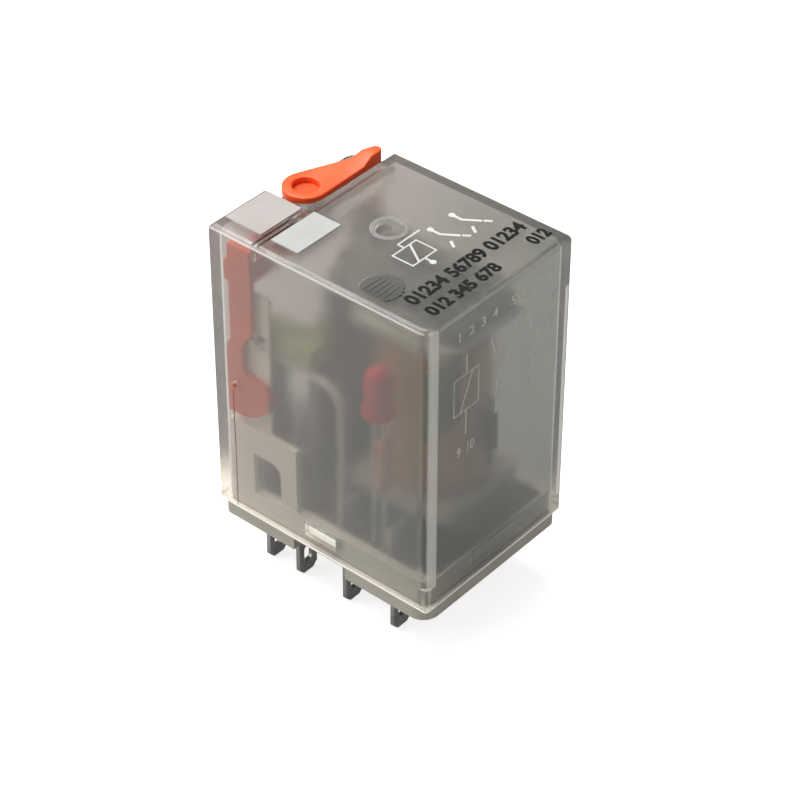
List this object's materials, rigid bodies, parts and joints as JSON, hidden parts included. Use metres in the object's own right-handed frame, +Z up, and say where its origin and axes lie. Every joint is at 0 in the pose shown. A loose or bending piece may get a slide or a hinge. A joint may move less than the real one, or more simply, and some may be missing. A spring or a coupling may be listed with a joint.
{
  "type": "plug-in relay",
  "caption": "Miniature plug-in relay in a frosted clear cover, with flat plug blades, changeover contacts, an indicator lamp and an orange test lever in a corner pocket.",
  "frame": {"origin": "centre of the base's underside, which is the seat on the socket", "axes": "+X along the long side, towards the coil end; +Y towards the side with the open lever pocket; +Z up, away from the blades"},
  "size_m": [0.0274, 0.0213, 0.0423],
  "materials": {
    "frosted_cover": "frosted smoky polycarbonate",
    "clear_panel": "smooth translucent",
    "label_white": "satin",
    "base_plastic": "moulded beige grey",
    "tinned_brass": "dull tin plate",
    "contact_silver": "silver alloy",
    "spring_bronze": "rolled",
    "carrier_plastic": "moulded",
    "plated_iron": "zinc plate",
    "spring_steel": "rolled",
    "copper": "bare copper",
    "copper_wire": "enamelled wire",
    "amber_tape": "thin film",
    "bobbin_plastic": "moulded",
    "red_lamp": "tinted resin",
    "resistor_body": "lacquer",
    "green_board": "solder mask",
    "black_plastic": "moulded",
    "orange_plastic": "moulded"
  },
  "bodies": {
    "relay_body": {"cover": "frosted_cover", "clear_panel": "clear_panel", "marking_label": "label_white", "base": "base_plastic", "nc_blades": "tinned_brass", "no_blades": "tinned_brass", "common_blades": "tinned_brass", "coil_blades": "tinned_brass", "nc_contacts": "contact_silver", "no_contacts": "contact_silver", "pole_plate": "plated_iron", "core": "plated_iron", "yoke": "plated_iron", "shading_ring": "copper", "retaining_clip": "spring_steel", "bobbin": "bobbin_plastic", "winding": "copper_wire", "winding_tape": "amber_tape", "lamp": "red_lamp", "resistor": "resistor_body", "lamp_leads": "tinned_brass", "circuit_board": "green_board", "board_chips": "black_plastic", "diode": "black_plastic", "pigtails": "copper"},
    "armature_assembly": {"armature": "plated_iron", "armature_rivets": "plated_iron", "contact_carrier": "carrier_plastic", "moving_springs": "spring_bronze", "moving_contacts": "contact_silver"},
    "slider": {"test_slider": "orange_plastic"},
    "lever": {"lock_lever": "orange_plastic"}
  },
  "joints": [
    {"name": "armature_swing", "type": "hinge", "parent": "relay_body", "child": "armature_assembly", "pos_m": [-0.0034, 0, 0.0306], "axis": [0, -1, 0], "range_deg": [0, 3], "stiffness_Nm_per_rad": 0.02, "springref_deg": -5.73, "deforming": ["pigtails"]},
    {"name": "test_press", "type": "slide", "parent": "relay_body", "child": "slider", "axis": [0, 0, -1], "range_m": [0, 0.00091]},
    {"name": "lever_turn", "type": "hinge", "parent": "slider", "child": "lever", "pos_m": [-0.011, 0.0004, 0.0351], "axis": [0, 0, 1], "range_deg": [0, 90]}
  ],
  "couplings": [
    {"joint": "test_press", "follows": "armature_swing", "m_per_rad": 0.017189}
  ]
}
